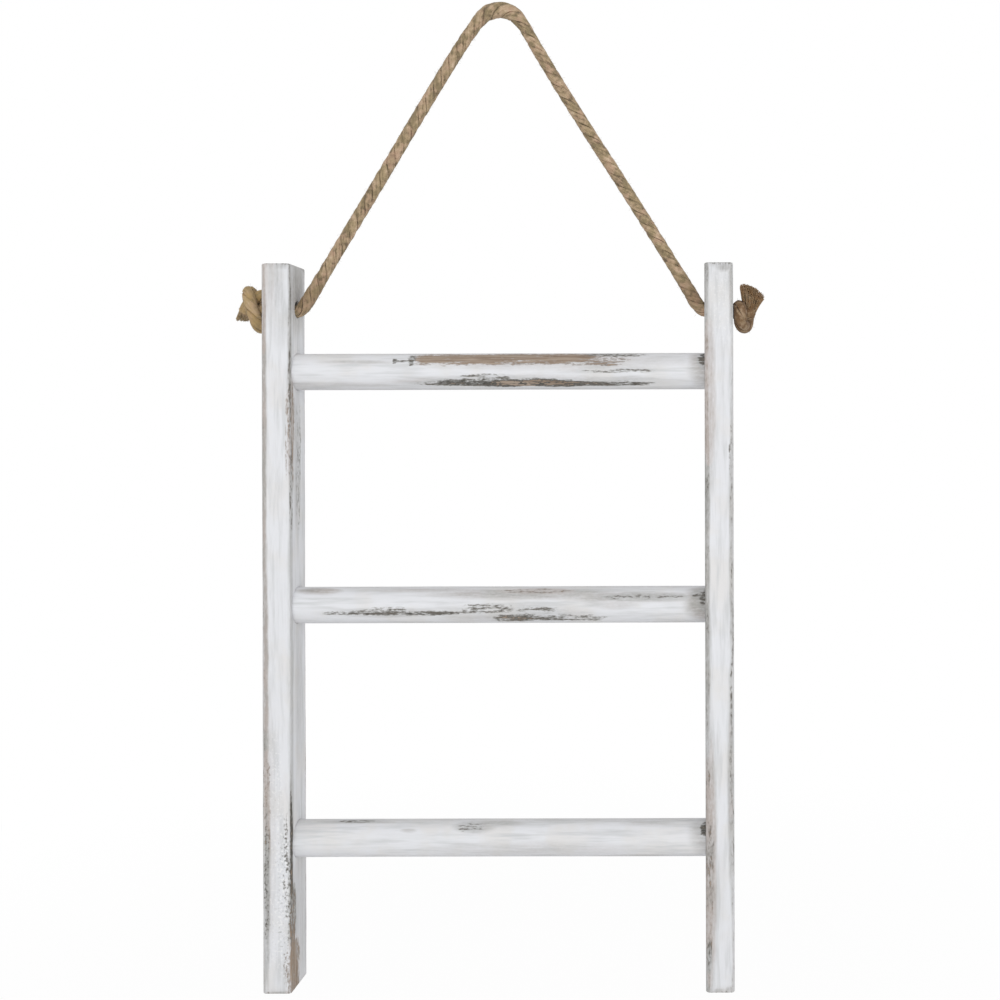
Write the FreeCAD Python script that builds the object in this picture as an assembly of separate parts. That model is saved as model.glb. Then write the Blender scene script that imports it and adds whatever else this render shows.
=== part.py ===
import FreeCAD, Part
import math
import os

from FreeCAD import Vector

os.makedirs("parts", exist_ok=True)

# A wall towel ladder: two rails, three dowel rungs and a knotted hanging rope.
# Millimetres, +Z up, front towards -Y. The origin is where the rope rests on its hook.

# Rails
rail_width = 24.0
rail_depth = 40.0
rail_length = 610.0
rail_edge_radius = 2.5
rail_end_chamfer = 1.2
clear_span = 346.0

# Rungs, glued into blind sockets in the rails; a head length is what the rail has above a centre
rung_diameter = 31.0
rung_socket_depth = 10.0
rung_glue_gap = 0.15
rung_end_chamfer = 1.0
top_rung_head_length = 90.0
rung_pitch = 198.0
rung_names = ["top_rung", "middle_rung", "bottom_rung"]

# Countersunk wood screws, one into each rung end
screw_diameter = 4.0
screw_length = 45.0
screw_point_length = 6.0
screw_head_diameter = 8.0
screw_head_half_angle = 45.0
screw_sink = 0.6
screw_clearance = 0.1
screw_pilot_spare = 2.0
recess_width = 1.3
recess_span = 4.4
recess_depth = 1.6

# Rope
rope_diameter = 11.0
rope_rise = 255.0
hook_bend_radius = 22.0
exit_bend_radius = 14.0
exit_reach = 4.5

# Rope holes in the rails
rope_hole_head_length = 37.0
rope_hole_clearance = 1.0
rope_hole_chamfer = 1.0

# Overhand knots in the squeezed rope outside the rails. The route is in shares of the squeezed diameter:
# out from the rail, across the knot from its middle, and to the side of its two bights
knot_rope_diameter = 7.7
knot_seat_gap = 0.3
strand_share = 0.58
wrap_share = 1.66
bight_share = 1.09
crossing_share = 0.12
knot_route_shares = [
    (1.84, strand_share, 0),
    (1.80, crossing_share, bight_share),
    (1.66, -wrap_share, bight_share),
    (1.46, -wrap_share, -bight_share),
    (1.04, wrap_share, -bight_share),
    (0.78, wrap_share, bight_share),
    (0.62, -crossing_share, bight_share),
    (0.58, -strand_share, 0),
]
knot_bend_shares = [0.62, 0.60, 1.0, 1.0, 1.0, 1.0, 0.60, 0.62, 0.75]
left_knot_turn = 180.0
right_knot_turn = -41.0

# Frayed tails, in shares of the squeezed diameter: how far out the end turns, its run from there (out, up
# and to the front), then the brush's end radius, length and rim
left_tail_out_share = 2.30
left_tail_run_shares = (0.56, -1.06, -0.55)
left_brush_shares = (0.66, 1.30, 0.16)
right_tail_out_share = 2.30
right_tail_run_shares = (0.12, 1.175, 0.24)
right_brush_shares = (1.25, 2.10, 0.35)

# The step along a knot at which its gap to itself is measured, and how far along another turn begins
gap_step = 0.4
next_turn_share = 2.2

# One overrun for every cut, and the shortest straight piece worth a line
overrun = 5.0
shortest_line = 0.001

# Places worked out from the sizes above
rope_radius = rope_diameter / 2
rung_radius = rung_diameter / 2
inner_x = clear_span / 2
outer_x = inner_x + rail_width
hook_z = rope_radius
hole_z = hook_z - rope_rise
rail_top_z = hole_z + rope_hole_head_length
rail_bottom_z = rail_top_z - rail_length
rung_heights = [rail_top_z - top_rung_head_length - rung_pitch * i for i in range(len(rung_names))]

ORIGIN = Vector(0, 0, 0)
ALONG_X = Vector(1, 0, 0)
ALONG_Z = Vector(0, 0, 1)
LEFT = -1
RIGHT = 1
HALF_TURN = 180
WHOLE_TURN = 360


def save(name, shape):
    """Write one sub-part, and say how large it is."""
    box = shape.BoundBox
    size = f"{box.XLength:.1f} x {box.YLength:.1f} x {box.ZLength:.1f} mm"
    print(f"{name}: {len(shape.Solids)} solid(s), {size}")
    shape.exportStep(f"parts/{name}.step")


def place_outside(shape, side, height):
    """Move a shape made outwards along +X from the origin to the outer face of one rail."""
    placed = shape.copy()
    if side == LEFT:
        placed.rotate(ORIGIN, ALONG_Z, HALF_TURN)
    placed.translate(Vector(side * outer_x, 0, height))
    return placed


def turned(outline):
    """A solid turned about X from (along, radius) points, the first and last on the axis."""
    corners = [Vector(along, 0, radius) for along, radius in outline]
    face = Part.Face(Part.makePolygon(corners + corners[:1]))
    return face.revolve(ORIGIN, ALONG_X, WHOLE_TURN)


# Screws

head_radius = screw_head_diameter / 2
shank_radius = screw_diameter / 2
head_height = (head_radius - shank_radius) / math.tan(math.radians(screw_head_half_angle))
head_top = -screw_sink
screw_tip = head_top - screw_length


def wood_screw():
    """One screw, its head outwards and sunk below the rail's face."""
    body = turned([
        (head_top, 0),
        (head_top, head_radius),
        (head_top - head_height, shank_radius),
        (screw_tip + screw_point_length, shank_radius),
        (screw_tip, 0),
    ])
    floor = head_top - recess_depth
    height = recess_depth + overrun
    for wide, tall in ((recess_width, recess_span), (recess_span, recess_width)):
        body = body.cut(Part.makeBox(height, wide, tall, Vector(floor, -wide / 2, -tall / 2)))
    return body


def screw_seat():
    """What is drilled for one screw: the countersink, the hole through the rail and the pilot hole."""
    head = head_radius + screw_clearance
    shank = shank_radius + screw_clearance
    return turned([
        (overrun, 0),
        (overrun, head),
        (head_top, head),
        (head_top - head_height, shank),
        (screw_tip - screw_pilot_spare, shank),
        (screw_tip - screw_pilot_spare, 0),
    ])


# Rails

def rail(side):
    """A rail with eased edges, its rung sockets, screw seats and rope hole."""
    low_x = min(side * inner_x, side * outer_x)
    corner = Vector(low_x, -rail_depth / 2, rail_bottom_z)
    body = Part.makeBox(rail_width, rail_depth, rail_length, corner)
    long_edges = [e for e in body.Edges if e.BoundBox.ZLength > rail_length / 2]
    body = body.makeFillet(rail_edge_radius, long_edges)
    end_edges = [e for e in body.Edges if e.BoundBox.ZLength < rail_length / 2]
    body = body.makeChamfer(rail_end_chamfer, end_edges)

    into_rail = Vector(side, 0, 0)
    for height in rung_heights:
        mouth = Vector(side * (inner_x - overrun), 0, height)
        deep = rung_socket_depth + overrun
        body = body.cut(Part.makeCylinder(rung_radius + rung_glue_gap, deep, mouth, into_rail))
        body = body.cut(place_outside(screw_seat(), side, height))

    hole = rope_radius + rope_hole_clearance
    start = Vector(side * (inner_x - overrun), 0, hole_z)
    body = body.cut(Part.makeCylinder(hole, rail_width + 2 * overrun, start, into_rail))
    wide = hole + rope_hole_chamfer
    for face_x, inwards in ((inner_x, into_rail), (outer_x, -into_rail)):
        mouth = Vector(side * face_x, 0, hole_z)
        body = body.cut(Part.makeCone(wide, hole, rope_hole_chamfer, mouth, inwards))
    return body


# Rungs

def rung(height):
    """A dowel that reaches the floors of both sockets, with a pilot hole in each end."""
    half = inner_x + rung_socket_depth
    body = turned([
        (-half, 0),
        (-half, rung_radius - rung_end_chamfer),
        (-half + rung_end_chamfer, rung_radius),
        (half - rung_end_chamfer, rung_radius),
        (half, rung_radius - rung_end_chamfer),
        (half, 0),
    ])
    body.translate(Vector(0, 0, height))
    for side in (LEFT, RIGHT):
        body = body.cut(place_outside(screw_seat(), side, height))
    return body


# Rope: its line leaves each hole level, bends up to the hook and goes round it

hook_centre_z = hook_z - hook_bend_radius
exit_corner_x = inner_x - exit_reach
corner_to_hook = math.hypot(exit_corner_x, hook_centre_z - hole_z)
rope_slope = math.atan2(hook_centre_z - hole_z, exit_corner_x) + math.asin(hook_bend_radius / corner_to_hook)
hook_corner_x = hook_bend_radius * math.tan(rope_slope / 2)
rope_end_x = outer_x + knot_seat_gap

rope_route = [
    Vector(-rope_end_x, 0, hole_z),
    Vector(-exit_corner_x, 0, hole_z),
    Vector(-hook_corner_x, 0, hook_z),
    Vector(hook_corner_x, 0, hook_z),
    Vector(exit_corner_x, 0, hole_z),
    Vector(rope_end_x, 0, hole_z),
]
rope_bend_radii = [exit_bend_radius, hook_bend_radius, hook_bend_radius, exit_bend_radius]


def rounded_path(points, radii):
    """Straight runs joined by tangent arcs of the given radii, and the path's length."""
    edges = []
    length = 0
    at = points[0]
    for before, corner, after, radius in zip(points, points[1:], points[2:], radii):
        inwards = (corner - before).normalize()
        outwards = (after - corner).normalize()
        turn = inwards.getAngle(outwards)
        reach = radius * math.tan(turn / 2)
        start = corner - inwards * reach
        end = corner + outwards * reach
        middle = corner + (outwards - inwards).normalize() * (radius / math.cos(turn / 2) - radius)
        if (start - at).Length > shortest_line:
            edges.append(Part.LineSegment(at, start).toShape())
        edges.append(Part.Arc(start, middle, end).toShape())
        length += (start - at).Length + radius * turn
        print(f"rope bend: {math.degrees(turn):.1f} degrees at a radius of {radius:.1f} mm")
        at = end
    edges.append(Part.LineSegment(at, points[-1]).toShape())
    length += (points[-1] - at).Length
    return Part.Wire(edges), length


def tube_along(path, length, start, diameter):
    """A round tube along a path that sets out along X, its volume compared with its length's."""
    ring = Part.Wire(Part.Circle(start, ALONG_X, diameter / 2).toShape())
    tube = path.makePipeShell([ring], True, False)
    expected = math.pi * diameter ** 2 / 4 * length
    print(f"tube volume over section times length: {tube.Volume / expected:.5f}")
    return tube


def rope():
    """The rope's free run, from knot to knot."""
    path, length = rounded_path(rope_route, rope_bend_radii)
    print(f"rope: {length:.1f} mm between the knots")
    return tube_along(path, length, rope_route[0], rope_diameter)


# Knots and tails

def outside_point(side, out, up, front):
    """A point out from one rail's outer face, up from its rope hole and to the front."""
    return Vector(side * (outer_x + out), -front, hole_z + up)


def knot_route(side, turn, tail_out_share, tail_run_shares):
    """The knot's points: its standing end fills the rope hole, and its tail turns away at the outer end."""
    cosine = math.cos(math.radians(turn))
    sine = math.sin(math.radians(turn))
    points = [outside_point(side, knot_seat_gap, 0, 0)]
    for out, across, beside in knot_route_shares + [(tail_out_share, -strand_share, 0)]:
        across -= strand_share
        shares = (out, across * cosine + beside * sine, across * sine - beside * cosine)
        points.append(outside_point(side, *[share * knot_rope_diameter for share in shares]))
    out, up, front = [share * knot_rope_diameter for share in tail_run_shares]
    points.append(points[-1] + Vector(side * out, -front, up))
    return points


def least_gap(path, diameter):
    """The narrowest gap between two turns of a tube, measured on points along its path."""
    points = path.discretize(Distance=gap_step)
    apart = math.ceil(next_turn_share * diameter / gap_step)
    pairs = [(p, q) for i, p in enumerate(points) for q in points[i + apart:]]
    return min(p.distanceToPoint(q) for p, q in pairs) - diameter


def knot(points):
    """An overhand knot: one unbroken tube of squeezed rope."""
    path, length = rounded_path(points, [share * knot_rope_diameter for share in knot_bend_shares])
    tube = tube_along(path, length, points[0], knot_rope_diameter)
    print(f"knot: {length:.1f} mm of rope, least gap to itself {least_gap(path, knot_rope_diameter):.2f} mm")
    return tube


def tail(points, brush_shares):
    """The rope's end beyond a knot, which flares into a brush with a rounded rim."""
    end_radius, length, rim = [share * knot_rope_diameter for share in brush_shares]
    root = points[-1]
    run = (root - points[-2]).normalize()
    brush = Part.makeCone(knot_rope_diameter / 2, end_radius, length, root, run)
    rim_edges = [e for e in brush.Edges if e.isClosed() and e.CenterOfMass.distanceToPoint(root) > length / 2]
    return brush.makeFillet(rim, rim_edges)


save("left_rail", rail(LEFT))
save("right_rail", rail(RIGHT))
for rung_name, rung_height in zip(rung_names, rung_heights):
    save(rung_name, rung(rung_height))
save("rung_screws", Part.makeCompound([
    place_outside(wood_screw(), side, height) for height in rung_heights for side in (LEFT, RIGHT)
]))
save("hanging_rope", rope())
left_route = knot_route(LEFT, left_knot_turn, left_tail_out_share, left_tail_run_shares)
right_route = knot_route(RIGHT, right_knot_turn, right_tail_out_share, right_tail_run_shares)
save("left_knot", knot(left_route))
save("right_knot", knot(right_route))
save("left_tail", tail(left_route, left_brush_shares))
save("right_tail", tail(right_route, right_brush_shares))
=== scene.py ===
import math

import bmesh
import bpy
import numpy as np
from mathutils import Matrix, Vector, noise


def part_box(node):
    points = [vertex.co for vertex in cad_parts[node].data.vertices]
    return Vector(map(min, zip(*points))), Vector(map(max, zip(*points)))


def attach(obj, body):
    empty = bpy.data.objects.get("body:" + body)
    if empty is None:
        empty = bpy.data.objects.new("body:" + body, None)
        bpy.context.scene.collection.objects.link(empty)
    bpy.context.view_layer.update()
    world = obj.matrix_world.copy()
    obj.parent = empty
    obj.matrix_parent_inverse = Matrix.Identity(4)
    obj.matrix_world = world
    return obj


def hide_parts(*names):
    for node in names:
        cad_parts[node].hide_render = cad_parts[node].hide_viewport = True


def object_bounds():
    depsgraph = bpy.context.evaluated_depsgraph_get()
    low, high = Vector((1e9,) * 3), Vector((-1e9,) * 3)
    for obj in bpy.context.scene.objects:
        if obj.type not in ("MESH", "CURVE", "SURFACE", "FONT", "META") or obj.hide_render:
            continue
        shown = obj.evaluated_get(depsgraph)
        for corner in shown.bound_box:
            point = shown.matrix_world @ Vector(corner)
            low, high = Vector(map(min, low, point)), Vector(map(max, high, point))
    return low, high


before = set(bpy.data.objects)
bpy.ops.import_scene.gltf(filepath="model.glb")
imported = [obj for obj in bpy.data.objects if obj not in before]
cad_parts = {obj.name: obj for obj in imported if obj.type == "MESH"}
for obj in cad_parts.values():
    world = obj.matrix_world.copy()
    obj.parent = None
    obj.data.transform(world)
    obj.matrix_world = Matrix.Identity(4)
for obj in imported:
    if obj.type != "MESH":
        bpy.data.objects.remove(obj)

cad_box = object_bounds()

MM = 0.001
WHOLE_TURN = 2 * math.pi
LEFT = -1
RIGHT = 1
NOISE_MIDDLE = 0.5


# Node trees

class Wire:
    """An output socket. Arithmetic on wires and numbers adds Math nodes to the socket's tree."""

    def __init__(self, tree, socket):
        self.tree = tree
        self.socket = socket

    def output(self, name):
        return Wire(self.tree, self.socket.node.outputs[name])

    def maths(self, operation, *values):
        return add_node(self.tree, "ShaderNodeMath", {"operation": operation}, dict(enumerate(values)))

    def __add__(self, other):
        return self.maths("ADD", self, other)

    def __radd__(self, other):
        return self.maths("ADD", other, self)

    def __sub__(self, other):
        return self.maths("SUBTRACT", self, other)

    def __rsub__(self, other):
        return self.maths("SUBTRACT", other, self)

    def __mul__(self, other):
        return self.maths("MULTIPLY", self, other)

    def __rmul__(self, other):
        return self.maths("MULTIPLY", other, self)

    def __truediv__(self, other):
        return self.maths("DIVIDE", self, other)

    def __pow__(self, other):
        return self.maths("POWER", self, other)

    def __abs__(self):
        return self.maths("ABSOLUTE", self)

    def cosine(self):
        return self.maths("COSINE", self)

    def sine(self):
        return self.maths("SINE", self)

    def larger(self, other):
        return self.maths("MAXIMUM", self, other)

    def clamped(self):
        return add_node(self.tree, "ShaderNodeClamp", {}, {0: self})

    def step(self, low, high):
        """0 below low, 1 above high, and smooth between."""
        ends = {"Value": self, "From Min": low, "From Max": high}
        return add_node(self.tree, "ShaderNodeMapRange", {"interpolation_type": "SMOOTHSTEP"}, ends)


def add_node(tree, kind, settings, inputs, output=0):
    """Add a node: its settings first, then its sockets' values or links. Gives one of its outputs."""
    node = tree.nodes.new(kind)
    for name, value in settings.items():
        setattr(node, name, value)
    for key, value in inputs.items():
        if isinstance(value, Wire):
            tree.links.new(value.socket, node.inputs[key])
        else:
            node.inputs[key].default_value = value
    return Wire(tree, node.outputs[output])


def vector_maths(operation, first, second):
    return add_node(first.tree, "ShaderNodeVectorMath", {"operation": operation}, {0: first, 1: second})


def scaled(vector, factor):
    inputs = {0: vector, "Scale": factor}
    return add_node(vector.tree, "ShaderNodeVectorMath", {"operation": "SCALE"}, inputs)


def mixed(factor, first, second):
    """A colour between two colours."""
    colours = {"Factor": factor, 6: first, 7: second}
    return add_node(factor.tree, "ShaderNodeMix", {"data_type": "RGBA"}, colours, output=2)


def new_material(name):
    """A new material, its node tree and its main shader."""
    material = bpy.data.materials.new(name)
    material.use_nodes = True
    return material, material.node_tree, material.node_tree.nodes["Principled BSDF"]


def noise_at(tree, place, size, detail=2.0, roughness=0.5):
    """Soft noise about NOISE_MIDDLE whose blotches are about one size across."""
    inputs = {"Vector": place, "Scale": 1 / size, "Detail": detail, "Roughness": roughness}
    return add_node(tree, "ShaderNodeTexNoise", {}, inputs)


def object_place(tree):
    return add_node(tree, "ShaderNodeTexCoord", {}, {}, output="Object")


def attribute(tree, name):
    return add_node(tree, "ShaderNodeAttribute", {"attribute_name": name}, {}, output="Fac")


def bump(height, distance, strength=1.0, below=None):
    inputs = {"Height": height, "Distance": distance, "Strength": strength}
    if below:
        inputs["Normal"] = below
    return add_node(height.tree, "ShaderNodeBump", {}, inputs)


def finish_shader(tree, shader, sockets):
    for name, value in sockets.items():
        if isinstance(value, Wire):
            tree.links.new(value.socket, shader.inputs[name])
        else:
            shader.inputs[name].default_value = value


# Finishes

chalk_white = (0.80, 0.81, 0.838, 1)
chalk_warm = (0.77, 0.75, 0.73, 1)
chalk_grey = (0.62, 0.63, 0.64, 1)
# Thinned paint's grey and tan, also used for painted shade
thin_and_shade_grey = (0.26, 0.25, 0.225, 1)
thin_and_shade_tan = (0.36, 0.29, 0.245, 1)
chalk_fresh = (0.90, 0.90, 0.905, 1)
stain_black = (0.065, 0.062, 0.055, 1)
stain_olive = (0.145, 0.133, 0.115, 1)
sanded_brown = (0.25, 0.185, 0.135, 1)
sanded_pale = (0.44, 0.355, 0.285, 1)
jute_light = (0.68, 0.53, 0.375, 1)
jute_middle = (0.45, 0.33, 0.21, 1)
jute_dark = (0.15, 0.11, 0.068, 1)
jute_pink = (0.46, 0.28, 0.20, 1)
jute_olive = (0.40, 0.315, 0.175, 1)
jute_soiled = (0.185, 0.109, 0.055, 1)
jute_golden = (0.40, 0.27, 0.105, 1)
jute_bronze = (0.315, 0.18, 0.078, 1)
zinc_grey = (0.60, 0.59, 0.56, 1)
zinc_dull = (0.33, 0.32, 0.30, 1)

streak_width = 2.2 * MM
streak_stretch = 11.0
fleck_width = 1.5 * MM
fleck_stretch = 2.6
grain_width = 1.1 * MM
grain_stretch = 30.0
brushing_width = 5 * MM
brushing_stretch = 12.0
cloud_size = 28 * MM
speckle_size = 2.2 * MM
stroke_width = 3.2 * MM
stroke_stretch = 9.0
paint_thickness = 0.2 * MM
grain_relief = 0.1 * MM
fine_detail = 3.0
streak_roughness = 0.6

# How strongly each pattern takes paint away, and from which loss on the stain and the timber show
streak_weight = 2.2
fleck_weight = 1.7
peel_weight = 3.2
peel_level = 0.51
touched_range = (0.0, 0.3)
bare_range = (0.38, 1.0)
thin_range = (0.12, 0.72)
veil_weight = 0.9
veil_streak_weight = 0.6
raw_loss = 0.44
raw_stain_weight = 0.8
raw_streak_weight = 0.5
raw_blend = 0.22

# Where each pattern turns from one colour to the next, and how much of the second colour it brings
stain_range = (0.38, 0.64)
timber_range = (0.36, 0.66)
cloud_range = (0.42, 0.70)
brushing_range = (0.44, 0.72)
stroke_range = (0.5, 0.7)
fresh_level = 0.44
fresh_range = (0.0, 0.06)
veil_range = (0.15, 0.55)
warm_share = 0.6
brushing_share = 0.75
stroke_share = 0.2
thin_share = 0.74
stroke_relief_share = 0.4
speckle_relief_share = 0.2
grain_relief_share = 0.5
paint_roughness = 0.58
bare_roughness = 0.16
speckle_roughness = 0.14
paint_specular = 0.35


def sanded_paint(name, along):
    """Chalky white paint over dark stain over brown timber, sanded back in streaks along one axis:
    0 is X and 2 is Z. The grey and tan of thinned paint are also laid on as painted shade."""
    material, tree, shader = new_material(name)
    place = object_place(tree)

    def streaky(width, stretch):
        squeeze = [1.0, 1.0, 1.0]
        squeeze[along] = 1 / stretch
        lengthened = add_node(tree, "ShaderNodeMapping", {}, {"Vector": place, "Scale": squeeze})
        return noise_at(tree, lengthened, width, fine_detail, streak_roughness)

    streak = streaky(streak_width, streak_stretch)
    fleck = streaky(fleck_width, fleck_stretch)
    grain = streaky(grain_width, grain_stretch)
    brushing = streaky(brushing_width, brushing_stretch)
    strokes = streaky(stroke_width, stroke_stretch)
    cloud = noise_at(tree, place, cloud_size, fine_detail)
    speckle = noise_at(tree, place, speckle_size, fine_detail)

    rubbed = attribute(tree, "rubbed")
    stained = attribute(tree, "stained")
    peeled = attribute(tree, "peeled")
    veiled = attribute(tree, "veiled")
    uneven = (streak - NOISE_MIDDLE) * streak_weight + (fleck - NOISE_MIDDLE) * fleck_weight
    loss = rubbed + rubbed.step(*touched_range) * uneven + peeled * (speckle - peel_level) * peel_weight
    bare = loss.step(*bare_range)
    thinned_and_shaded = loss.step(*thin_range).larger(veiled * (veil_weight + uneven * veil_streak_weight)).clamped()
    raw_from = raw_loss + stained * raw_stain_weight + (streak - NOISE_MIDDLE) * raw_streak_weight
    raw = loss.step(raw_from, raw_from + raw_blend)

    stain = mixed(streak.step(*stain_range), stain_black, stain_olive)
    timber = mixed(grain.step(*timber_range), sanded_brown, sanded_pale)
    wood = mixed(raw, stain, timber)
    paint = mixed(cloud.step(*cloud_range) * warm_share, chalk_white, chalk_warm)
    greyed = brushing.step(*brushing_range) * brushing_share + strokes.step(*stroke_range) * stroke_share
    paint = mixed(greyed, paint, chalk_grey)
    paint = mixed(peeled * (fresh_level - speckle).step(*fresh_range), paint, chalk_fresh)
    # Thinned paint turns from tan to grey where stained; the same mix lays on painted shade
    veil = mixed((stained + cloud - NOISE_MIDDLE).step(*veil_range), thin_and_shade_tan, thin_and_shade_grey)
    paint = mixed(thinned_and_shaded * thin_share, paint, veil)
    colour = mixed(bare, paint, wood)

    height = (1 - bare) + strokes * stroke_relief_share + speckle * speckle_relief_share
    relief = bump(grain, grain_relief, grain_relief_share, below=bump(height, paint_thickness))
    finish_shader(tree, shader, {
        "Base Color": colour,
        "Roughness": paint_roughness + bare * bare_roughness + (speckle - NOISE_MIDDLE) * speckle_roughness,
        "Normal": relief,
        "Specular IOR Level": paint_specular,
    })
    return material


fibre_along_scale = 90
fibre_round_scale = 16
fibre_tone_scale = 53
fibre_blotch = 0.6
fibre_noise_roughness = 0.65
jute_patch_size = 7 * MM
jute_shade_size = 4.5 * MM
fibre_relief = 0.3 * MM
fibre_relief_share = 0.9

# How much each pattern lightens the jute, and where it turns from one colour to the next
jute_lightness = 0.68
fibre_weight = 1.2
tone_weight = 0.8
patch_weight = 1.3
shade_weight = 1.5
# How much painted shade darkens the jute in grooves and inside frayed ends
sunk_shade_weight = 0.7
middle_range = (0.0, 0.5)
light_range = (0.45, 1.05)
pink_range = (0.52, 0.70)
pink_share = 0.45
olive_range = (0.44, 0.62)
olive_share = 0.5
soil_share = 0.45
soil_range = (0.30, 0.70)
soil_shade_share = 0.8
jute_roughness = 0.78
fibre_roughness = 0.15
jute_specular = 0.2
jute_sheen = 0.1
jute_sheen_roughness = 0.6


def jute(name, soiled):
    """Spun jute: pale, brown and dark fibres along each yarn, with painted shade down between the strands
    and inside frayed ends, and darker where it is soiled."""
    material, tree, shader = new_material(name)
    place = object_place(tree)
    along = attribute(tree, "along")
    around = attribute(tree, "around")
    tone = attribute(tree, "tone")
    sunk_shade = attribute(tree, "sunk_shade")
    soil = attribute(tree, "soil")
    lie = add_node(tree, "ShaderNodeCombineXYZ", {}, {
        "X": along * fibre_along_scale, "Y": around * fibre_round_scale, "Z": tone * fibre_tone_scale,
    })
    fibre = noise_at(tree, lie, fibre_blotch, fine_detail, fibre_noise_roughness)
    patch = noise_at(tree, place, jute_patch_size, fine_detail)
    shade = noise_at(tree, place, jute_shade_size)
    # Painted shade: points that lie deep in the grooves and inside frayed ends are darkened
    light = jute_lightness - sunk_shade * sunk_shade_weight
    for pattern, weight in (
        (fibre, fibre_weight), (tone, tone_weight), (patch, patch_weight), (shade, shade_weight),
    ):
        light = light + (pattern - NOISE_MIDDLE) * weight
    colour = mixed(light.step(*middle_range), jute_dark, jute_middle)
    colour = mixed(light.step(*light_range), colour, jute_light)
    colour = mixed(patch.step(*pink_range) * pink_share, colour, jute_pink)
    colour = mixed((1 - patch).step(*olive_range) * olive_share, colour, jute_olive)
    dirt = soil * (soil_share + shade.step(*soil_range) * soil_shade_share)
    colour = mixed(dirt.clamped(), colour, soiled)
    finish_shader(tree, shader, {
        "Base Color": colour,
        "Roughness": jute_roughness + fibre * fibre_roughness,
        "Normal": bump(fibre, fibre_relief, fibre_relief_share),
        "Specular IOR Level": jute_specular,
        "Sheen Weight": jute_sheen,
        "Sheen Roughness": jute_sheen_roughness,
    })
    return material


zinc_spot_size = 1.4 * MM
zinc_mark_size = 0.3 * MM
zinc_relief = 0.05 * MM
zinc_relief_share = 0.5
zinc_spot_range = (0.45, 0.72)
zinc_dull_range = (0.5, 0.75)
zinc_metallic = 0.9
zinc_dull_share = 0.35
zinc_roughness = 0.34
zinc_mark_roughness = 0.22


def zinc(name):
    """Dull zinc plating with fine turning marks and darker spots."""
    material, tree, shader = new_material(name)
    place = object_place(tree)
    spots = noise_at(tree, place, zinc_spot_size, fine_detail)
    marks = noise_at(tree, place, zinc_mark_size)
    finish_shader(tree, shader, {
        "Base Color": mixed(spots.step(*zinc_spot_range), zinc_grey, zinc_dull),
        "Metallic": zinc_metallic - spots.step(*zinc_dull_range) * zinc_dull_share,
        "Roughness": zinc_roughness + marks * zinc_mark_roughness,
        "Normal": bump(marks, zinc_relief, zinc_relief_share),
    })
    return material


upright_paint = sanded_paint("sanded_paint_upright", along=2)
level_paint = sanded_paint("sanded_paint_level", along=0)
rope_jute = jute("rope_jute", jute_soiled)
golden_jute = jute("golden_jute", jute_golden)
brown_jute = jute("brown_jute", jute_soiled)
bronze_jute = jute("bronze_jute", jute_bronze)
zinc_plate = zinc("zinc_plate")


# Pieces

line_resolution = 24
line_order = 3


def add_piece(name, mesh, body, nodes=()):
    """Link a finished mesh as a piece that rides on a body and stands for CAD nodes."""
    piece = bpy.data.objects.new(name, mesh)
    bpy.context.scene.collection.objects.link(piece)
    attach(piece, body)
    if nodes:
        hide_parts(*nodes)
    return piece


def evaluated_mesh(holder):
    """The mesh that an object's modifiers give, and the object is removed."""
    bpy.context.view_layer.update()
    mesh = bpy.data.meshes.new_from_object(holder.evaluated_get(bpy.context.evaluated_depsgraph_get()))
    bpy.data.objects.remove(holder)
    return mesh


def held(name, data):
    """A scratch object that holds a mesh or curve while it is worked on."""
    holder = bpy.data.objects.new(name, data)
    bpy.context.scene.collection.objects.link(holder)
    return holder


def new_growth(name, sizes):
    """A geometry tree with named sizes. Gives the tree, its geometry and a wire for each size."""
    tree = bpy.data.node_groups.new(name, "GeometryNodeTree")
    tree.interface.new_socket("Geometry", in_out="INPUT", socket_type="NodeSocketGeometry")
    for size, kind in sizes.items():
        tree.interface.new_socket(size, in_out="INPUT", socket_type=kind)
    tree.interface.new_socket("Geometry", in_out="OUTPUT", socket_type="NodeSocketGeometry")
    first = tree.nodes.new("NodeGroupInput")
    wires = {size: Wire(tree, first.outputs[size]) for size in sizes}
    return tree, Wire(tree, first.outputs["Geometry"]), wires


def end_growth(tree, geometry, finish):
    """Realize what was grown, smooth it and give it its finish."""
    geometry = add_node(tree, "GeometryNodeRealizeInstances", {}, {"Geometry": geometry})
    geometry = add_node(tree, "GeometryNodeSetShadeSmooth", {}, {"Geometry": geometry})
    geometry = add_node(tree, "GeometryNodeSetMaterial", {}, {"Geometry": geometry, "Material": finish})
    last = tree.nodes.new("NodeGroupOutput")
    tree.links.new(geometry.socket, last.inputs["Geometry"])


def grown(name, line_mesh, tree, sizes):
    """The plain mesh that a tree grows on a line."""
    holder = held(name, line_mesh)
    modifier = holder.modifiers.new(name, "NODES")
    modifier.node_group = tree
    for item in tree.interface.items_tree:
        if item.in_out == "INPUT" and item.name in sizes:
            modifier[item.identifier] = sizes[item.name]
    return evaluated_mesh(holder)


def smooth_line(name, points):
    """A route's smooth line, as a mesh of points and edges. The route's points are the control points
    of a spline."""
    curve = bpy.data.curves.new(name, "CURVE")
    curve.dimensions = "3D"
    curve.resolution_u = line_resolution
    spline = curve.splines.new("NURBS")
    spline.points.add(len(points) - 1)
    for spot, point in zip(spline.points, points):
        spot.co = (*point, 1)
    spline.order_u = line_order
    spline.use_endpoint_u = True
    return evaluated_mesh(held(name, curve))


# Rope

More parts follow.
